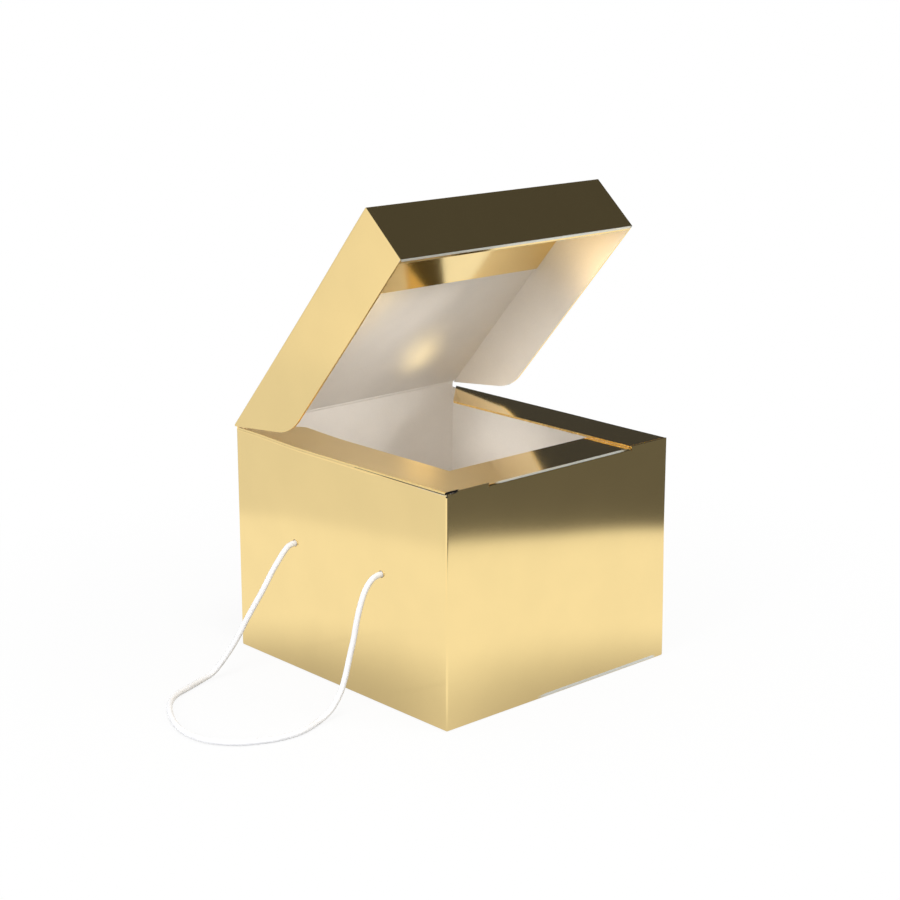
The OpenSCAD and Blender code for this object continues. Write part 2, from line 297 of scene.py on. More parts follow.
def shader_mix(tree, factor, first, second):
    """A node that turns one shader into another by a factor"""
    return add_node(tree, "MixShader", {
        0: factor, 1: first.outputs[0], 2: second.outputs[0]})


def noise(tree, place, scale, detail=2.0, roughness=0.5):
    return add_node(tree, "TexNoise", {
        "Vector": place, "Scale": scale, "Detail": detail, "Roughness": roughness}).outputs["Fac"]


def clouded(tree, pattern, dark, light):
    """A colour that wanders between two with a pattern"""
    return mixed(tree, ranged(tree, pattern, 0.3, 0.7), colour(dark), colour(light))


def marked_wear_and_painted_light(tree):
    """What finish_board and braided_tube mark on the points of a mesh: wear and painted highlights
    on the board, and the depth of the cord's grooves for their painted shade
    """
    return add_node(tree, "Attribute", attribute_name="wear").outputs["Fac"]


def dress(tree, shader, values, pattern, strength, depth):
    """Sets or links a shader's sockets, and gives it a fine relief from a pattern"""
    relief = add_node(tree, "Bump", {
        "Strength": strength, "Distance": depth, "Height": pattern})
    feed(tree, shader.inputs["Normal"], relief.outputs["Normal"])
    for name, value in values.items():
        feed(tree, shader.inputs[name], value)


def foil_material():
    """Gold lacquered foil: a soft mirror with a fine grain, pale silver where the lacquer is rubbed
    off some creases and where highlights are painted along the carton's left rim and the front
    wall's foot
    """
    made, tree, shader, place = new_material("gold_foil")
    look = finishes()
    cloud = noise(tree, place, 45, 3)
    grain = noise(tree, place, 1400, 2)
    fleck = noise(tree, place, 2600, 1)
    patchy = ranged(tree, noise(tree, place, 700, 2), 0.3, 0.7, 0.75, 1.0)
    # Wear and painted highlight: the marked strips turn pale silver
    rubbed_and_highlit = ranged(tree, reckoned(tree, "MULTIPLY", marked_wear_and_painted_light(tree), patchy), 0.25, 0.75)
    base = clouded(tree, cloud, [c * 0.975 for c in look.foil], look.foil)
    spread = 0.012
    blur = ranged(tree, grain, 0.2, 0.8, look.foil_roughness - spread, look.foil_roughness + spread)
    dress(tree, shader, {
        "Base Color": mixed(tree, rubbed_and_highlit, base, colour(look.worn_and_highlit_foil)),
        "Roughness": reckoned(tree, "MULTIPLY_ADD", rubbed_and_highlit, 0.30, blur),
        "Metallic": ranged(tree, rubbed_and_highlit, 0, 1, 1.0, 0.65, False),
    }, fleck, 0.10, 0.004 * MM)
    return made


def paper_material():
    """The board's white inside: coated paper with a fine fibre and a silky sheen"""
    made, tree, shader, place = new_material("white_paper")
    look = finishes()
    cloud = noise(tree, place, 60, 3)
    fibre = noise(tree, place, 1800, 3, 0.6)
    base = clouded(tree, cloud, [c * 0.965 for c in look.paper], look.paper)
    fibred = ranged(tree, fibre, 0.35, 0.65, 0.0, 0.12)
    dress(tree, shader, {
        "Base Color": mixed(tree, fibred, base, colour((0.74, 0.71, 0.66))),
        "Roughness": ranged(tree, fibre, 0.3, 0.7, 0.40, 0.50),
        "Specular IOR Level": 0.5,
    }, fibre, 0.25, 0.02 * MM)
    return made


def edge_material():
    """Cut edges of the board: deep gold where the foil wraps over them, with a coarse grain"""
    made, tree, shader, place = new_material("gold_edge")
    grain = noise(tree, place, 900, 2)
    dress(tree, shader, {
        "Base Color": clouded(tree, grain, (0.98, 0.66, 0.22), (1.0, 0.73, 0.30)),
        "Roughness": ranged(tree, grain, 0.2, 0.8, 0.22, 0.30),
        "Metallic": 1.0,
    }, grain, 0.15, 0.01 * MM)
    return made


def painted_shade_material():
    """Painted shade: near-black board put in the notch, at a dot on the near corner and under the
    left flap's fold, where there is only shade
    """
    made, tree, shader, place = new_material("dark_core")
    fibre = noise(tree, place, 1500, 3)
    dress(tree, shader, {
        "Base Color": clouded(tree, fibre, (0.010, 0.009, 0.008), (0.022, 0.020, 0.017)),
        "Roughness": ranged(tree, fibre, 0.3, 0.7, 0.80, 0.92),
        "Specular IOR Level": 0.2,
    }, fibre, 0.3, 0.02 * MM)
    return made


def cord_material():
    """White braided cord: soft threads with a faint sheen, and painted shade in the grooves between
    the strands
    """
    made, tree, shader, place = new_material("white_cord")
    look = finishes()
    thread = noise(tree, place, 3000, 2)
    cloud = noise(tree, place, 250, 2)
    base = clouded(tree, cloud, [c * 0.97 for c in look.cord], look.cord)
    groove_shade = ranged(tree, marked_wear_and_painted_light(tree), 0.4, 1.0, 0.0, 0.15)
    dress(tree, shader, {
        "Base Color": mixed(tree, groove_shade, base, colour((0.70, 0.72, 0.76))),
        "Roughness": ranged(tree, thread, 0.3, 0.7, 0.62, 0.78),
        "Sheen Weight": 0.25,
        "Sheen Roughness": 0.4,
    }, thread, 0.12, 0.03 * MM)
    return made


def material(name):
    """A finish of the box, made at its first use"""
    makers = {"gold_foil": foil_material, "white_paper": paper_material, "gold_edge": edge_material,
              "dark_core": painted_shade_material, "white_cord": cord_material}
    return bpy.data.materials.get(name) or makers[name]()


def same(a, b):
    return abs(a - b) < TOUCH


def smooth(share):
    """An eased step from 0 to 1"""
    share = min(1.0, max(0.0, share))
    return share * share * (3 - 2 * share)


def fold_lines(radius):
    """Distances from a crease of the lines that its rounding needs"""
    return [radius * (1 - math.tan(math.radians(a))) for a in (33.75, 22.5, 11.25, 0)]


def steps(low, high, fine_low=False, fine_high=False, fold=crease_r):
    """Places for the lines across a panel: an even grid, and close ones at creased ends"""
    count = max(1, math.ceil((high - low) / sizes().grid))
    places = [low + (high - low) * i / count for i in range(1, count)]
    close = fold_lines(fold) + [1.1 * MM, 1.5 * MM, 2.1 * MM, 3 * MM]
    if fine_low:
        places += [low + c for c in close]
    if fine_high:
        places += [high - c for c in close]
    return sorted(place for place in places if low + NEAR < place < high - NEAR)


def add_panel(shell, place, outer, inner, lines_a, lines_b, lines_depth=(), is_crease=None,
              cut=None, bow=None):
    """One flat panel of board in a shell, from the outlines of its foil and paper faces

    place turns (a, b, depth) into a point. Sides for which is_crease is true stay open, because
    the next panel goes on there, and cut gives the finish of the others. The lines cut the panel
    into a fine grid, and bow moves its middle towards its paper side.
    """
    count = len(outer)
    front = [shell.verts.new((a, b, 0)) for a, b in outer]
    back = [shell.verts.new((a, b, board)) for a, b in inner]
    made = [shell.faces.new(front), shell.faces.new(back[::-1])]
    made[0].material_index, made[1].material_index = FOIL, PAPER
    for i in range(count):
        j = (i + 1) % count
        if is_crease is None or not is_crease(outer[i], outer[j]):
            side = shell.faces.new((front[i], back[i], back[j], front[j]))
            side.material_index = cut(outer[i], outer[j]) if cut else FOIL
            made.append(side)
    edges = {e for f in made for e in f.edges}
    geometry = front + back + list(edges) + made
    for axis, places in enumerate((lines_a, lines_b, lines_depth)):
        normal = [0, 0, 0]
        normal[axis] = 1
        for at in places:
            point = [0, 0, 0]
            point[axis] = at
            geometry = bmesh.ops.bisect_plane(
                shell, geom=geometry, dist=TOUCH, plane_co=point, plane_no=normal)["geom"]
    for v in [g for g in geometry if isinstance(g, bmesh.types.BMVert)]:
        a, b, depth = v.co
        if bow:
            depth += bow(a, b)
        v.co = place(a, b, depth)


def back_lift(y):
    """How far the board at the carton's left stands up towards the lid's hinge"""
    return back_left_rise * smooth((y - 20 * MM) / (40 * MM))


def make_bow(low_a, high_a, low_b, high_b, phase):
    """A shallow wave over a panel that fades out towards its edges"""
    height = sizes().bow
    fade_width, wave_a, wave_b = 16 * MM, 17 * MM, 21 * MM

    def bow(a, b):
        inset = min(a - low_a, high_a - a, b - low_b, high_b - b)
        wave = math.sin(a / wave_a + phase) * math.sin(b / wave_b + 1.7 * phase)
        return height * smooth(inset / fade_width) * (0.6 + 0.4 * wave)

    return bow


def round_creases(shell, low, high, fold=crease_r, fold_at=None):
    """Rounds the outer side of the creases of a shell that follows the box from low to high

    fold is the radius, and fold_at gives it by the place along Y where it isn't the same all along.
    """
    for v in shell.verts:
        r = fold_at(v.co.y) if fold_at else fold
        inside = Vector(min(max(v.co[i], low[i] + r), high[i] - r) for i in range(3))
        off = v.co - inside
        if sum(abs(c) > NEAR for c in off) > 1:
            v.co = inside + off.normalized() * r


def side_fold(y):
    """Radius of the folds at the carton's side rims, which are sharper towards the hinge"""
    return (0.25 + 0.50 * smooth(-y / (50 * MM))) * MM


def join_rings(shell, rings, finish_at=lambda k: 0):
    """Faces from each ring of points to the next one, and over both ends"""
    for near, far in zip(rings, rings[1:]):
        for k in range(len(near)):
            n = (k + 1) % len(near)
            face = shell.faces.new((near[k], near[n], far[n], far[k]))
            face.material_index = finish_at(k)
    shell.faces.new(rings[0][::-1])
    shell.faces.new(rings[-1])


def mesh_object(name, shell, looks, sharp):
    """An object from a shell with its finishes, smooth up to an angle in degrees"""
    mesh = bpy.data.meshes.new(name)
    shell.to_mesh(mesh)
    shell.free()
    for look in looks:
        mesh.materials.append(material(look))
    mesh.polygons.foreach_set("use_smooth", [True] * len(mesh.polygons))
    mesh.set_sharp_from_angle(angle=math.radians(sharp))
    return add_object(name, mesh)


def finish_board(shell, name, body, replaced, to_frame=None, wear=None, in_painted_shade=None):
    """Closes a shell of board, marks its wear and painted highlights, gives the faces that
    in_painted_shade picks the painted shade finish, and hangs it on its body in place of its CAD
    nodes

    to_frame brings the closed lid's boards into the frame. The others are spread a little at the
    carton's left.
    """
    bmesh.ops.remove_doubles(shell, verts=shell.verts, dist=2 * NEAR)
    bmesh.ops.recalc_face_normals(shell, faces=shell.faces)
    mark = shell.verts.layers.float.new("wear")
    for face in shell.faces:
        if in_painted_shade and in_painted_shade(face.calc_center_median()):
            face.material_index = PAINTED_SHADE
    for v in shell.verts:
        v[mark] = wear(v.co) if wear else 0.0
        if to_frame:
            v.co = to_frame(v.co)
        else:
            v.co.x -= left_spread * smooth(-v.co.x / side_half)
    piece = mesh_object(name, shell, BOARD_FINISHES, 32)
    if body:
        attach(piece, body)
    if replaced:
        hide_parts(*replaced)
    return piece


def arc_points(middle, radius, turns):
    """Points of a circle at some turns"""
    return [(middle[0] + radius * math.cos(t), middle[1] + radius * math.sin(t)) for t in turns]


def hole_arc(middle, low_half):
    """Points of half the edge of a cord hole, from its back end to its front one"""
    count = 16
    turns = [(-math.pi if low_half else math.pi) * i / count for i in range(count + 1)]
    return arc_points((middle, hole_z), hole_r, turns)


def settle_walls(shell):
    """Sets the side rims back, raises the back left, bevels the back wall's top to clear the lid,
    flares the right wall's foot and curls the left wall's near edge in
    """
    half, far = side_half, depth_half
    left_wall = -half + board + NEAR
    set_back, foot_height = 0.45, 75 * MM
    curl, curl_width = 0.14 * MM, 2.1 * MM
    for v in shell.verts:
        on_rim = abs(v.co.x) > half - NEAR and v.co.z > side_top - NEAR
        if on_rim and abs(v.co.y) < far - 1.5 * MM:
            v.co.x -= math.copysign(set_back * side_fold(v.co.y), v.co.x)
        if v.co.x < left_wall and v.co.z < side_top + NEAR:
            v.co.z += back_lift(v.co.y) * smooth(v.co.z / side_top)
        if v.co.y > far - board - NEAR and v.co.z > side_top + 1 * MM:
            v.co.z = min(v.co.z, back_top - far + v.co.y)
        foot = smooth(1 - v.co.z / foot_height)
        v.co.x += right_flare * foot * smooth(v.co.x / half) * smooth(0.5 - v.co.y / (2 * far))
        curled = (curl_width - v.co.y - far) / curl_width
        if curled > 0 and v.co.x < left_wall and v.co.y > -far + board:
            v.co.x += curl * curled ** 2


def carton_walls():
    """The carton's four walls, folded from one length of board"""
    shell = bmesh.new()
    half, far = side_half, depth_half
    wide = steps(-half, half, True, True)
    deep = steps(-far, far, True, True)
    # Low end of a painted shade dot on the near corner's edge, which is also a line of the grid
    shade_dot_low = side_top - 1.1 * MM
    tall = steps(0, side_top, True) + [hole_z, side_top - 0.35 * MM, shade_dot_low]

    def front_outline(inset):
        x = half - inset
        notch = [(-half + out * MM, ear_top - down * MM) for out, down in NOTCH]
        return [(-x, 0), (x, 0), (x, side_top), (x, ear_top), (mouth_half, ear_top),
                (mouth_half, front_top), (-mouth_half, front_top), (-mouth_half, ear_top), *notch,
                (-x, ear_top - NOTCH[-1][1] * MM), (-x, side_top)]

    def back_outline(inset):
        x, top = half - inset, back_top - inset
        return [(-x, 0), (x, 0), (x, side_top), (x, top), (-x, top), (-x, side_top)]

    def side_outline(inset, low_half):
        y = far - inset
        arcs = hole_arc(hole_y, low_half) + hole_arc(-hole_y, low_half)
        if low_half:
            return [(-y, 0), (y, 0), (y, hole_z), *arcs, (-y, hole_z)]
        return [(-y, side_top), (-y, hole_z), *arcs[::-1], (y, hole_z), (y, side_top)]

    def on_corner(p, q):
        upright = same(abs(p[0]), half) and same(p[0], q[0])
        return upright and max(p[1], q[1]) < side_top + TOUCH

    def on_side_joint(p, q):
        level = same(p[1], hole_z) and same(q[1], hole_z)
        return level or same(abs(p[0]), far) and same(p[0], q[0])

    add_panel(shell, lambda a, b, d: (a, -far + d, b), front_outline(0), front_outline(board),
              wide, tall, is_crease=on_corner, bow=make_bow(-half, half, 0, front_top, 0.4))
    add_panel(shell, lambda a, b, d: (a, far - d, b), back_outline(0), back_outline(board),
              wide, tall, is_crease=on_corner, bow=make_bow(-half, half, 0, back_top, 2.1),
              cut=lambda p, q: PAPER if min(p[1], q[1]) > back_top - TOUCH else FOIL)
    for side in (-1, 1):
        for low_half in (True, False):
            add_panel(shell, lambda a, b, d: (side * (half - d), a, b),
                      side_outline(0, low_half), side_outline(board, low_half), deep, tall,
                      is_crease=on_side_joint, bow=make_bow(-far, far, 0, side_top, 1.2 + side))
    round_creases(shell, (-half, -far, 0), (half, far, 1))
    settle_walls(shell)

    def wear(p):
        """Painted highlights along the near half of the left rim, and in a strip at the foot of the
        front wall
        """
        if p.x < -half + 0.4 * MM and p.z > side_top - 0.4 * MM:
            return 0.5 * smooth((-20 * MM - p.y) / (35 * MM))
        if p.y > -far + 0.5 * MM:
            return 0.0
        middle, reach = 23.5 * MM, 38.5 * MM
        ends = smooth((reach - abs(p.x - middle)) / (4 * MM))
        low = smooth((1.9 * MM - p.z) / (0.5 * MM))
        return ends * low * smooth((p.z - 0.3 * MM) / (0.3 * MM))

    def in_painted_shade(p):
        # Painted shade on the notch's cut faces and at a dot on the near corner's edge
        in_notch = p.x < -half + 6.3 * MM and p.z > ear_top - 1.05 * MM
        in_board = -far + 0.05 * MM < p.y < -far + board - 0.05 * MM
        at_shade_dot = p.x < -half + 0.5 * MM and p.y < -far + 0.6 * MM
        return in_notch and in_board or at_shade_dot and shade_dot_low < p.z < side_top - 0.3 * MM

    finish_board(shell, "carton_walls", "carton",
                 ("front_wall", "left_wall", "right_wall", "back_wall"),
                 wear=wear, in_painted_shade=in_painted_shade)


def flat_flap(name, node, outline):
    """A flat flap of the carton's bottom with its foil face down, drawn in X and Y"""
    shell = bmesh.new()
    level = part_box(node)[0].z
    xs, ys = [p[0] for p in outline], [p[1] for p in outline]
    add_panel(shell, lambda a, b, d: (a, b, level + d), outline, outline,
              steps(min(xs), max(xs)), steps(min(ys), max(ys)))
    finish_board(shell, name, "carton", (node,))


def bottom_flaps():
    """The four bottom flaps and the glued tab at the carton's back left corner"""
    for side, word in ((-1, "left"), (1, "right")):
        node = f"bottom_{word}_flap"
        low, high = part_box(node)
        bevel = 10 * MM
        wall, free = (low.x, high.x) if side < 0 else (high.x, low.x)
        lean = free + side * bevel
        flat_flap(f"bottom_{word}_dust_flap", node, [
            (wall, low.y), (lean, low.y), (free, low.y + bevel), (free, high.y - bevel),
            (lean, high.y), (wall, high.y)])
    for node in ("bottom_front_flap", "bottom_back_flap"):
        low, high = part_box(node)
        flat_flap(node.replace("bottom", "closing"), node, [
            (low.x, low.y), (high.x, low.y), (high.x, high.y), (low.x, high.y)])
    low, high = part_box("side_seam_tab")
    ease = 4 * MM
    outline = [(low.x, low.z), (high.x, low.z + ease), (high.x, high.z - ease), (low.x, high.z)]
    shell = bmesh.new()
    add_panel(shell, lambda a, b, d: (a, high.y - d, b), outline, outline,
              steps(low.x, high.x), steps(low.z, high.z), cut=lambda p, q: PAPER)
    finish_board(shell, "glued_seam_tab", "carton", ("side_seam_tab",))


def side_flaps():
    """The flaps at the left and right of the mouth, with slanted and rounded back corners"""
    low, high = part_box("right_rim_flap")
    width = high.x - low.x
    corner_r = 4 * MM
    free_back = high.y - width
    ease = corner_r * math.tan(math.radians(22.5))
    turns = [math.radians(a) for a in (0, 9, 18, 27, 36, 45)]
    fold_share = 0.28

    def in_painted_shade(p):
        # Painted shade at the flap's end by the notch and under the near half of its fold
        in_notch = p.y < low.y + 0.05 * MM and p.x < -side_half + 7.2 * MM
        under_fold = p.x < -side_half + 0.5 * MM and p.z < rim_top - 0.74 * MM and p.y < -12 * MM
        return in_notch or under_fold

    for side, word in ((-1, "left"), (1, "right")):
        longer = 5 * MM if side < 0 else 0
        middle = (width - corner_r, free_back - ease + longer)
        outline = [(0, low.y), (width, low.y), *arc_points(middle, corner_r, turns),
                   (0, high.y + fold_share * longer)]
        shell = bmesh.new()
        add_panel(shell, lambda a, b, d: (side * (side_half - a), b, rim_top - d), outline, outline,
                  steps(0, width, True), steps(low.y, high.y), fold_lines(crease_r),
                  cut=lambda p, q: FOIL if max(p[0], q[0]) < TOUCH else EDGE)
        round_creases(shell, (-side_half, -1, -1), (side_half, 1, rim_top), fold_at=side_fold)
        if side < 0:
            for v in shell.verts:
                v.co.z += back_lift(v.co.y)
        finish_board(shell, f"{word}_rim_board", f"{word}_flap", (f"{word}_rim_flap",),
                     in_painted_shade=in_painted_shade if side < 0 else None)


def front_flap():
    """The flap at the front of the mouth, worn along its crease"""
    low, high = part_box("front_rim_flap")
    outline = [(low.x, 0), (high.x, 0), (high.x, flap_depth), (low.x, flap_depth)]
    shell = bmesh.new()
    add_panel(shell, lambda a, b, d: (a, low.y + b, high.z - d), outline, outline,
              steps(low.x, high.x), steps(0, flap_depth, True), fold_lines(crease_r))
    round_creases(shell, (-1, low.y, -1), (1, 1, high.z))

    def wear(p):
        ends = smooth((high.x - 0.3 * MM - p.x) / (2 * MM)) * smooth((p.x - low.x) / (1.2 * MM))
        front = smooth((low.y + 1.7 * MM - p.y) / (0.6 * MM))
        return ends * front * smooth((p.z - high.z + 0.65 * MM) / (0.3 * MM))

    finish_board(shell, "front_rim_board", "front_flap", ("front_rim_flap",), wear=wear)


def crease_core(name, outer, inner, low, high, start, end, place, lift=None):
    """The board inside a fold, which fills the gap between two panels

    outer and inner are its section's points on the two sides, as (a, b), which run from low to
    high along the fold.
    """
    shell = bmesh.new()
    count = max(2, math.ceil((high - low) / sizes().grid))
    section = [*outer, *inner[::-1]]
    rings = []
    for i in range(count + 1):
        run = low + (high - low) * i / count
        rings.append([shell.verts.new(place(run, a, b)) for a, b in section])
    join_rings(shell, rings, lambda k: FOIL if k < len(outer) - 1 else PAPER)
    piece = finish_board(shell, name, None, ())
    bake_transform(piece)
    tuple(start)
    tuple(end)
    if lift:
        for v in piece.data.vertices:
            v.co.z += lift(v.co.y)


def fold_cores():
    """The folds between the carton and the three flaps round its mouth"""
    recess, overlap = 0.45 * MM, 0.05 * MM
    parts = 8
    for word, side in (("left", -1), ("right", 1)):
        low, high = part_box(f"{word}_rim_flap")
        base = low.z - crease_gap
        edge = side * (side_half - recess)
        outer = [(edge, base + crease_gap * i / parts) for i in range(parts + 1)]
        inner = [(side * (side_half - board - overlap), z) for _, z in outer]
        crease_core(f"{word}_rim_fold", outer, inner, low.y, high.y,
                    (edge, 0, base), (edge, 0, base + crease_gap), lambda run, a, b: (a, run, b),
                    back_lift if side < 0 else None)
    low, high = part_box("front_rim_flap")
    base = low.z - crease_gap
    outer = [(low.y, base + crease_gap * i / parts) for i in range(parts + 1)]
    inner = [(low.y + board + overlap, z) for _, z in outer]
    crease_core("front_rim_fold", outer, inner, low.x, high.x,
                (0, low.y, base), (0, low.y, base + crease_gap), lambda run, a, b: (run, a, b))


def hinge_core():
    """The fold between the carton's back wall and the lid"""
    parts = 8
    y, centre = hinge.y, Vector((0, hinge.y, hinge.z))
    lid_start, lid_corner = on_lid((0, crease_gap, 0)), on_lid((0, crease_gap + board, board))
    wall_start, wall_corner = Vector((0, y, back_top)), Vector((0, y - board, back_top - board))
    from_wall, from_lid = wall_corner - centre, lid_corner - centre
    turn = from_wall.angle(from_lid)
    arc = []
    for i in range(parts + 1):
        spin = Matrix.Rotation(-turn * i / parts, 3, "X")
        scale = 1 + (from_lid.length / from_wall.length - 1) * i / parts
        arc.append(centre + spin @ from_wall * scale)
    outer = [(p.y, p.z) for p in (wall_start, centre, lid_start)]
    inner = [(p.y, p.z) for p in arc]
    crease_core("lid_hinge_fold", outer, inner, -side_half + board, side_half - board,
                wall_corner, lid_corner, lambda run, a, b: (run, a, b))


def on_lid(p):
    """A point of the closed lid (across, forwards, down) on the open one"""
    x, forwards, down = p
    c, s = math.cos(lid_open), math.sin(lid_open)
    return Vector((x, hinge.y - forwards * c - down * s, hinge.z + forwards * s - down * c))


def lid_side_outline(inset):
    """Outline of a lid side wall, forwards and down, with its sloping back edge and round corner"""
    slope = math.tan(lid_back_slope)
    ease = lid_corner_r * math.tan(lid_back_slope / 2)
    corner = lid_back_gap - lid_back_drop / math.sin(lid_back_slope) + lid_depth / slope
    middle = (corner + ease, lid_depth - lid_corner_r)
    count = 12
    turns = [math.pi / 2 + lid_back_slope * (1 - i / count) for i in range(count + 1)]
    heel = (lid_back_gap - lid_back_drop * math.sin(lid_back_slope),
            lid_back_drop * math.cos(lid_back_slope))
    return [(lid_back_gap + inset / slope, inset), (heel[0], max(heel[1], inset + 0.05 * MM)),
            *arc_points(middle, lid_corner_r, turns), (lid_reach - inset, lid_depth),
            (lid_reach - inset, inset)]


def flare_lid(shell):
    """Spreads the left of the closed lid, most at its front, and pulls it in between"""
    deepest = 0.65
    for v in shell.verts:
        left, along = smooth(-v.co.x / lid_half), v.co.y / lid_reach
        v.co.x -= left * (lid_spread + lid_flare * smooth(along))
        v.co.x += lid_pull * left * smooth(min(along / deepest, (1 - along) / (1 - deepest)))


def lid_edge_wear(p):
    """Where the lacquer is rubbed off the closed lid's lower front edge"""
    low = smooth((p.z - lid_depth + 0.22 * MM) / (0.15 * MM))
    return low * smooth((p.y - lid_reach + 1.45 * MM) / (0.3 * MM))


def lid_outside(deep):
    """The lid's top, its side walls and the outer layer of its front wall"""
    shell = bmesh.new()
    half, reach, down = lid_half, lid_reach, lid_depth
    wide = steps(-half, half, True, True, lid_crease_r)
    long = steps(0, reach, False, True, lid_crease_r)

    def top_outline(inset):
        x, start, end = half - inset, crease_gap + inset, reach - inset
        side = lid_back_gap + inset / math.tan(lid_back_slope)
        return [(-x, start), (x, start), (x, side), (x, end), (-x, end), (-x, side)]

    def on_side_fold(p, q):
        at_top = same(p[1], 0) and same(q[1], 0)
        return at_top or same(p[0], reach) and same(q[0], reach)

    add_panel(shell, lambda a, b, d: (a, b, d), top_outline(0), top_outline(board), wide, long,
              is_crease=lambda p, q: min(p[1], q[1]) > lid_back_gap - TOUCH,
              cut=lambda p, q: PAPER if max(p[1], q[1]) < lid_back_gap - TOUCH else FOIL,
              bow=make_bow(-half, half, 0, reach, 0.9))
    for side in (-1, 1):
        add_panel(shell, lambda a, b, d: (side * (half - d), a, b),
                  lid_side_outline(0), lid_side_outline(board), long, deep,
                  is_crease=on_side_fold, cut=lambda p, q: EDGE if side < 0 else FOIL,
                  bow=make_bow(0, reach, 0, down, 2.6 + side))
    x, low = half - board, down - 0.25 * MM
    add_panel(shell, lambda a, b, d: (a, reach - d, b),
              [(-half, 0), (half, 0), (half, down), (-half, down)],
              [(-x, board), (x, board), (x, low), (-x, low)], wide, deep,
              is_crease=lambda p, q: min(p[1], q[1]) < TOUCH or same(p[0], q[0]),
              bow=make_bow(-half, half, 0, down, 0.2))
    round_creases(shell, (-half, -1, 0), (half, reach, 1), lid_crease_r)
    flare_lid(shell)
    finish_board(shell, "lid_board", "lid",
                 ("lid_top", "lid_left_side", "lid_right_side", "lid_front_outer"),
                 to_frame=on_lid, wear=lid_edge_wear)


def lid_lining(deep):
    """The board that rolls over the lid front's lower edge, comes up inside and lines the top"""
    shell = bmesh.new()
    half, reach, down = lining_half, lid_reach, lid_depth
    wide = steps(-half, half)
    inner_face = reach - 3 * board
    top = 2 * board
    free = reach - 2 * board - lining_reach

    def strip(low, high):
        return [(-half, low), (half, low), (half, high), (-half, high)]

    def across(p, q):
        return same(p[1], q[1])

    fine = steps(inner_face, reach, True, True, lid_crease_r)
    add_panel(shell, lambda a, b, d: (a, b, down - d), strip(inner_face, reach),
              strip(inner_face + board, reach - board), wide, fine, is_crease=across)
    add_panel(shell, lambda a, b, d: (a, inner_face + d, b), strip(top, down),
              strip(top - board, down - board), wide, deep, is_crease=across,
              bow=make_bow(-half, half, top, down, 1.1))
    add_panel(shell, lambda a, b, d: (a, b, top - d), strip(free, inner_face),
              strip(free, inner_face + board), wide, steps(free, inner_face),
              is_crease=lambda p, q: across(p, q) and p[1] > free + NEAR,
              bow=make_bow(-half, half, free, inner_face, 3.0))
    round_creases(shell, (-1, inner_face, -1), (1, reach, down), lid_crease_r)
    flare_lid(shell)
    finish_board(shell, "lid_lining_board", "lid", ("lid_front_inner", "lid_lining_flap"),
                 to_frame=on_lid, wear=lid_edge_wear)


def lid_tabs():
    """The glued tabs between the two layers of the lid's front wall"""
    inset = 1.1 * MM
    top, foot = inset, lid_depth - inset
    for side, word in ((-1, "left"), (1, "right")):
        low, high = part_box(f"lid_{word}_corner_tab")
        inner_x, outer_x = (high.x, low.x) if side < 0 else (low.x, high.x)
        shell = bmesh.new()
        outline = [(outer_x, top), (inner_x, top), (inner_x, foot), (outer_x, foot)]
        add_panel(shell, lambda a, b, d: (a, lid_reach - board - d, b), outline, outline,
                  steps(low.x, high.x), steps(top, foot), cut=lambda p, q: PAPER)
        finish_board(shell, f"lid_{word}_glued_tab", "lid", (f"lid_{word}_corner_tab",),
                     to_frame=on_lid)


def smooth_route(points, step):
    """Points a step apart on a smooth curve through the given ones, and its length"""
    ends = [points[0], *points, points[-1]]
    parts = 24
    fine = []
    for i in range(1, len(ends) - 2):
        a, b, c, d = ends[i - 1:i + 3]
        for k in range(parts):
            t = k / parts
            fine.append(b + (t * (c - a) + t * t * (2 * a - 5 * b + 4 * c - d)
                             + t * t * t * (3 * b - a - 3 * c + d)) / 2)
    fine.append(points[-1])
    run = [0.0]
    for p, q in zip(fine, fine[1:]):
        run.append(run[-1] + (q - p).length)
    count = max(2, round(run[-1] / step))
    placed, at = [], 0
    for i in range(count + 1):
        want = run[-1] * i / count
        while at < len(fine) - 2 and run[at + 1] < want:
            at += 1
        share = (want - run[at]) / max(run[at + 1] - run[at], 1e-9)
        placed.append(fine[at].lerp(fine[at + 1], min(1.0, share)))
    return placed, run[-1]


def braided_tube(name, points, diameter, first_heading, last_heading=None):
    """A round cord along points, with the relief of its braided strands and flat cut ends"""
    look = sizes()
    sides = 24
    strands = 6
    mesh = bmesh.new()
    depth_layer = mesh.verts.layers.float.new("wear")
    rings, run = [], 0.0
    side = first_heading.orthogonal().normalized()
    for i, p in enumerate(points):
        if i == 0:
            ahead = first_heading
        elif i == len(points) - 1:
            ahead = (last_heading or (points[-1] - points[-2])).normalized()
        else:
            ahead = (points[i + 1] - points[i - 1]).normalized()
        side = (side - ahead * side.dot(ahead)).normalized()
        over = ahead.cross(side)
        if i:
            run += (p - points[i - 1]).length
        ring = []
        for k in range(sides):
            turn = 2 * math.pi * k / sides
            wind = 2 * math.pi * run / look.braid_pitch
            one = abs(math.sin(strands * (turn + wind) / 2))
            two = abs(math.sin(strands * (turn - wind) / 2))
            rise = (one * two) ** 0.5
            r = diameter / 2 - look.braid_relief * (1 - rise)
            v = mesh.verts.new(p + (side * math.cos(turn) + over * math.sin(turn)) * r)
            # Groove depth, which the cord's finish uses for painted shade in the grooves
            v[depth_layer] = 1 - rise
            ring.append(v)
        rings.append(ring)
    join_rings(mesh, rings)
    return mesh_object(name, mesh, ["white_cord"], 60)


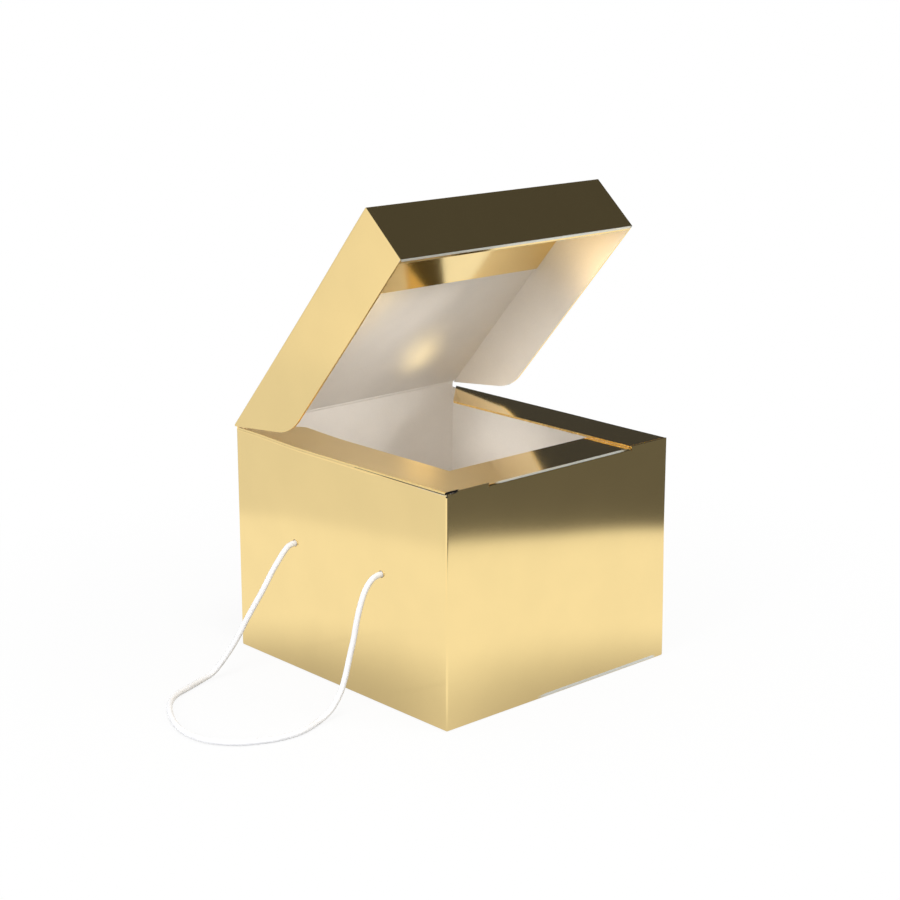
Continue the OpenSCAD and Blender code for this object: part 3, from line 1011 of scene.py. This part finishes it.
class GIFTBOX_OT_camera(bpy.types.Operator):
    """Place the camera"""
    bl_idname = "gift_box.camera"
    bl_label = "Camera"

    def execute(self, context):
        data = bpy.data.cameras.new("camera")
        # Solved from the straight edges of the box in the photo
        data.lens = 79.64
        data.sensor_width = 36
        camera = add_object("camera", data)
        right = Vector((0.7387, -0.6740, 0)).normalized()
        forward = Vector((0.6514, 0.7139, -0.2571)).normalized()
        right = (right - forward * right.dot(forward)).normalized()
        up = right.cross(forward)
        turn = Matrix((right, up, -forward)).transposed().to_4x4()
        camera.matrix_world = Matrix.Translation((-0.5650, -0.6190, 0.3154)) @ turn
        context.scene.camera = camera
        return {"FINISHED"}


class GIFTBOX_OT_cord_handle(bpy.types.Operator):
    """Lay the cord handle and tie its two knots behind the holes"""
    bl_idname = "gift_box.cord_handle"
    bl_label = "Cord handle"

    def execute(self, context):
        thick = sizes().cord_diameter
        route = [Vector((-side_half - out * MM, y * MM, z * MM)) for out, y, z in CORD_ROUTE]
        path, length = smooth_route(route, cord_step)
        cord = braided_tube("handle_loop", path, thick, Vector((-1, 0, 0)), Vector((1, 0, 0)))
        # Hardly anything of the cord is mirrored in the foil
        cord.visible_glossy = False
        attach(cord, "carton")
        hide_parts("handle_cord")
        knots = [self.tie("front", -hole_y, thick), self.tie("back", hole_y, thick)]
        tuple(path[0])
        [tuple(p) for p in path]
        return {"FINISHED"}

    def tie(self, word, y, thick):
        """One knot and its hanging end, in the place of its CAD node"""
        node = f"handle_knot_{word}"
        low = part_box(node)[0]
        inner = -side_half + board
        x = inner + knot_in
        end_x = x + KNOT[-1][0] * thick
        shape = [(low.x, y, hole_z), (inner + 0.2 * MM, y, hole_z),
                 *((x + a * thick, y + b * thick, hole_z + c * thick) for a, b, c in KNOT),
                 (end_x, y, low.z + 4 * MM), (end_x, y, low.z + 0.2 * MM)]
        path, _ = smooth_route([Vector(p) for p in shape], cord_step)
        piece = braided_tube(f"handle_knot_tied_{word}", path, thick, Vector((1, 0, 0)))
        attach(piece, "carton")
        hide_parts(node)
        return piece


class GIFTBOX_OT_carton(bpy.types.Operator):
    """Fold the carton's walls, close its bottom and glue its seam"""
    bl_idname = "gift_box.carton"
    bl_label = "Carton"

    def execute(self, context):
        carton_walls()
        bottom_flaps()
        return {"FINISHED"}


class GIFTBOX_OT_rim_flaps(bpy.types.Operator):
    """Fold in the three flaps round the mouth"""
    bl_idname = "gift_box.rim_flaps"
    bl_label = "Rim flaps"

    def execute(self, context):
        side_flaps()
        front_flap()
        fold_cores()
        return {"FINISHED"}


class GIFTBOX_OT_lid(bpy.types.Operator):
    """Fold the lid, its rolled front edge and its lining"""
    bl_idname = "gift_box.lid"
    bl_label = "Lid"

    def execute(self, context):
        deep = steps(0, lid_depth, True, True, lid_crease_r)
        lid_outside(deep)
        hinge_core()
        lid_lining(deep)
        lid_tabs()
        return {"FINISHED"}


def floor_material():
    """A plain floor: white to the camera with a faint shadow, and what the foil mirrors round it

    right and back tell how far a place's direction from the middle points along X and Y.
    """
    look = stage()
    made = bpy.data.materials.new("pale_floor")
    made.use_nodes = True
    tree = made.node_tree
    tree.nodes.clear()
    rays = add_node(tree, "LightPath").outputs
    place = add_node(tree, "TexCoord").outputs["Object"]
    far = add_node(tree, "VectorMath", {0: place}, operation="LENGTH").outputs["Value"]
    xyz = add_node(tree, "SeparateXYZ", {0: place}).outputs
    right = reckoned(tree, "DIVIDE", xyz["X"], far)
    back = reckoned(tree, "DIVIDE", xyz["Y"], far)

    # The surroundings, from bright at the left to dark at the right, and the near floor's edge
    turned = reckoned(tree, "ADD", right, ranged(tree, back, -0.3, 0.1, 0.45, 0.0))
    level = ranged(tree, turned, -0.35, 0.30, look.bright, look.dark)
    edge = reckoned(tree, "SUBTRACT", ranged(tree, right, -0.95, -0.60, -0.050, 0.0),
                    ranged(tree, right, -0.2, 0.35, 0.0, 0.023))
    edge = reckoned(tree, "ADD", edge, ranged(tree, right, 0.55, 0.75, 0.0, 0.010))
    past = reckoned(tree, "SUBTRACT", far, edge)
    blur = 0.012
    beyond = ranged(tree, past, look.floor_bright_r - blur, look.floor_bright_r + blur)
    # Painted shadow: the floor that the foil mirrors is painted darker close to the box
    near = mixed(tree, ranged(tree, far, 0.06, 0.14), colour((0.54, 0.53, 0.53)), grey(0.95))
    around = mixed(tree, beyond, near, level)

    # A warm white patch at the left, in front of a slanted edge
    slant = reckoned(tree, "MULTIPLY_ADD", far, -0.96, back)
    patch = reckoned(tree, "MULTIPLY", ranged(tree, slant, 0.075, 0.14, 1.0, 0.0),
                     ranged(tree, right, -0.75, -0.55, 1.0, 0.0))
    patch = reckoned(tree, "MULTIPLY", patch, ranged(tree, far, 0.19, 0.26))
    around = mixed(tree, patch, around, colour((1.0, 0.98, 0.95)))

    # What each kind of ray meets
    pale = mixed(tree, rays["Is Diffuse Ray"], grey(0.86), grey(0.50))
    pale = mixed(tree, rays["Is Glossy Ray"], pale, around)
    lit = add_node(tree, "BsdfDiffuse", {"Color": pale})
    room = add_node(tree, "Emission", {"Color": around})
    white = add_node(tree, "Emission", {"Color": grey(1)})
    mirrored = reckoned(tree, "MULTIPLY", rays["Is Glossy Ray"], 0.90)
    plain = ranged(tree, far, 0.10, 0.32, 0.90, 1.0)
    seen = reckoned(tree, "MULTIPLY", rays["Is Camera Ray"], plain)
    all_rays = shader_mix(tree, seen, shader_mix(tree, mirrored, lit, room), white)
    add_node(tree, "OutputMaterial", {"Surface": all_rays.outputs[0]})
    return made


def world_material():
    """Soft light from all round, white to the camera, and what the foil mirrors above the floor"""
    look = stage()
    world = bpy.context.scene.world or bpy.data.worlds.new("studio")
    bpy.context.scene.world = world
    world.use_nodes = True
    tree = world.node_tree
    tree.nodes.clear()
    rays = add_node(tree, "LightPath").outputs
    place = add_node(tree, "TexCoord").outputs["Generated"]
    xyz = add_node(tree, "SeparateXYZ", {0: place}).outputs
    dark = ranged(tree, xyz["Z"], 0.30, 0.60, 0.050, 0.065)
    left = ranged(tree, xyz["X"], -0.20, 0.35, 1.0, 0.0)
    around = mixed(tree, left, dark, grey(look.bright))
    behind = reckoned(tree, "MULTIPLY", ranged(tree, xyz["Y"], 0.20, 0.50),
                      ranged(tree, xyz["Z"], 0.44, 0.58))
    around = mixed(tree, behind, around, grey(look.bright))
    overhead = ranged(tree, xyz["Z"], 0.84, 0.96)
    mirrored = mixed(tree, overhead, around, grey(0.9))
    fill = add_node(tree, "Background", {"Color": grey(1), "Strength": look.fill})
    room = add_node(tree, "Background", {"Color": mirrored})
    white = add_node(tree, "Background", {"Color": grey(1)})
    foil_sees = shader_mix(tree, rays["Is Glossy Ray"], fill, room)
    all_rays = shader_mix(tree, rays["Is Camera Ray"], foil_sees, white)
    add_node(tree, "OutputWorld", {"Surface": all_rays.outputs[0]})


def add_lamp(name, place, aim, width, power):
    """A soft square lamp that shines at a point and that the foil doesn't mirror"""
    data = bpy.data.lights.new(name, "AREA")
    data.shape = "SQUARE"
    data.size = width
    data.energy = power
    lamp = add_object(name, data)
    lamp.location = place
    lamp.rotation_mode = "QUATERNION"
    lamp.rotation_quaternion = (Vector(aim) - Vector(place)).to_track_quat("-Z", "Y")
    lamp.visible_glossy = False
    return lamp


class GIFTBOX_OT_stage(bpy.types.Operator):
    """Lay the floor and hang the lamps"""
    bl_idname = "gift_box.stage"
    bl_label = "Stage"

    def execute(self, context):
        half, drop = 6.0, 0.2 * MM
        shell = bmesh.new()
        bmesh.ops.create_grid(shell, x_segments=8, y_segments=8, size=half)
        mesh = bpy.data.meshes.new("floor")
        shell.to_mesh(mesh)
        shell.free()
        floor = add_object("floor", mesh)
        floor.location.z = -drop
        mesh.materials.append(floor_material())
        world_material()
        for name, place, aim, width in LAMPS:
            add_lamp(f"{name}_lamp", place, aim, width, getattr(stage(), f"{name}_power"))
        for i, (place, aim, width, spread, share, tint) in enumerate(GLOWS, 1):
            lamp = add_lamp(f"foil_glow_{i}", place, aim, width, stage().glow_power * share)
            lamp.data.spread = math.radians(spread)
            lamp.data.color = tint
            lamp.visible_camera = False
        context.scene.view_settings.view_transform = "Standard"
        return {"FINISHED"}


class GIFTBOX_PT_panel(bpy.types.Panel):
    """Shows the box's sizes, finishes and stage, and a button for each step"""
    bl_idname = "GIFTBOX_PT_panel"
    bl_label = "Gift Box"
    bl_space_type = "VIEW_3D"
    bl_region_type = "UI"
    bl_category = "Gift Box"

    def draw(self, context):
        scene = context.scene
        for group in (scene.gift_box_sizes, scene.gift_box_finishes, scene.gift_box_stage):
            for name in group.__annotations__:
                self.layout.prop(group, name)
        for step in STEPS:
            self.layout.operator(step.bl_idname)


GROUPS = {
    "gift_box_sizes": GiftBoxSizes,
    "gift_box_finishes": GiftBoxFinishes,
    "gift_box_stage": GiftBoxStage,
}
STEPS = (
    GIFTBOX_OT_camera,
    GIFTBOX_OT_cord_handle,
    GIFTBOX_OT_carton,
    GIFTBOX_OT_rim_flaps,
    GIFTBOX_OT_lid,
    GIFTBOX_OT_stage,
)


def register():
    for kind in (*GROUPS.values(), *STEPS, GIFTBOX_PT_panel):
        bpy.utils.register_class(kind)
    for name, kind in GROUPS.items():
        setattr(bpy.types.Scene, name, bpy.props.PointerProperty(type=kind))


def unregister():
    for name in GROUPS:
        delattr(bpy.types.Scene, name)
    for kind in (GIFTBOX_PT_panel, *reversed(STEPS), *reversed(GROUPS.values())):
        bpy.utils.unregister_class(kind)


def main():
    register()
    for step in STEPS:
        group, name = step.bl_idname.split(".")
        getattr(getattr(bpy.ops, group), name)()


if __name__ == "__main__":
    main()
